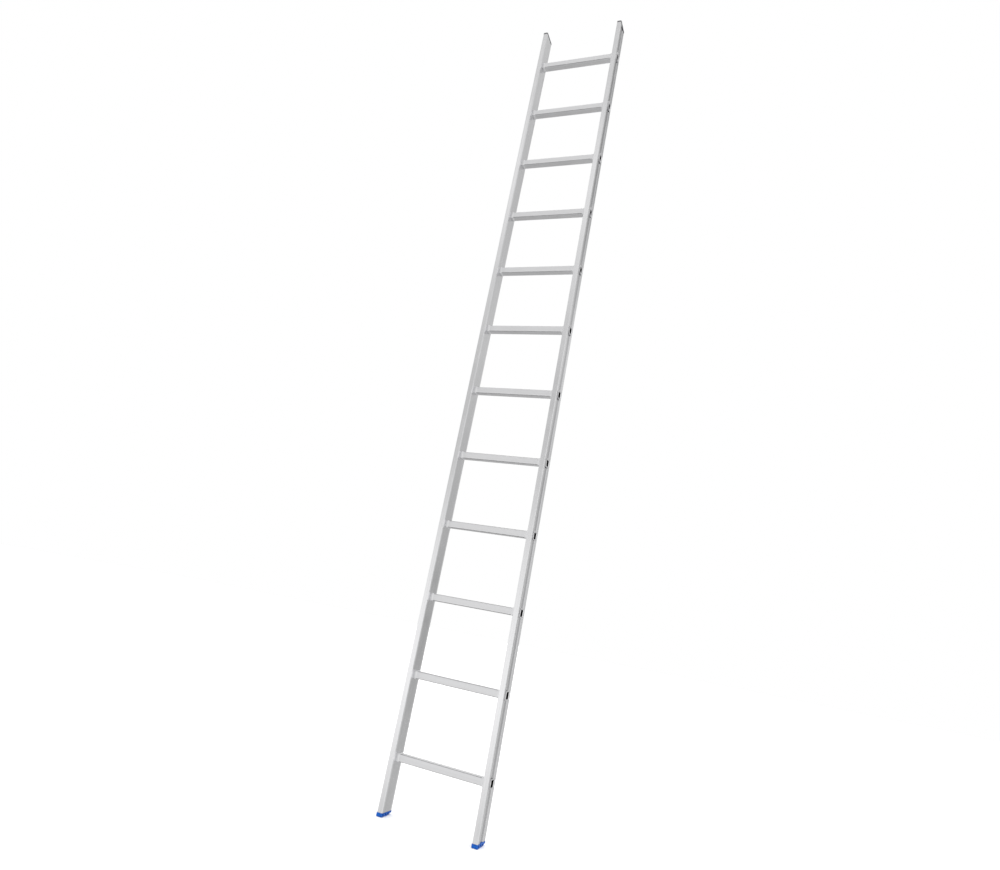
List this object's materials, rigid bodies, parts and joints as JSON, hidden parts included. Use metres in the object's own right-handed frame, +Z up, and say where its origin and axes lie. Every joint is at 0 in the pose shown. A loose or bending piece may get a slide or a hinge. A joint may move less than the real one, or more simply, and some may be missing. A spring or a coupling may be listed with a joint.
{
  "type": "leaning ladder",
  "caption": "Single-section straight aluminium leaning ladder: box-section rails with a channel down the outer face, swaged square tube rungs, blue plastic feet and dark end caps.",
  "frame": {"origin": "on the ground plane of the soles, midway between the rails and midway through their depth", "axes": "+Z up along the rails, +X across the ladder to the climber's right, +Y away from the climber, towards the wall that it leans on"},
  "size_m": [0.386, 0.0712, 3.4558],
  "materials": {
    "rail_aluminium": "mill-finish extrusion, satin, with fine lines along its length",
    "rung_aluminium": "mill-finish extruded tube, satin, ribbed tread",
    "foot_plastic": "blue moulded plastic, lightly textured, semi-matt",
    "cap_plastic": "dark grey moulded plastic, fine texture"
  },
  "bodies": {
    "root": {"left_rail": "rail_aluminium", "right_rail": "rail_aluminium", "rung_01": "rung_aluminium", "rung_02": "rung_aluminium", "rung_03": "rung_aluminium", "rung_04": "rung_aluminium", "rung_05": "rung_aluminium", "rung_06": "rung_aluminium", "rung_07": "rung_aluminium", "rung_08": "rung_aluminium", "rung_09": "rung_aluminium", "rung_10": "rung_aluminium", "rung_11": "rung_aluminium", "rung_12": "rung_aluminium", "left_foot": "foot_plastic", "right_foot": "foot_plastic", "left_cap": "cap_plastic", "right_cap": "cap_plastic"}
  },
  "joints": []
}
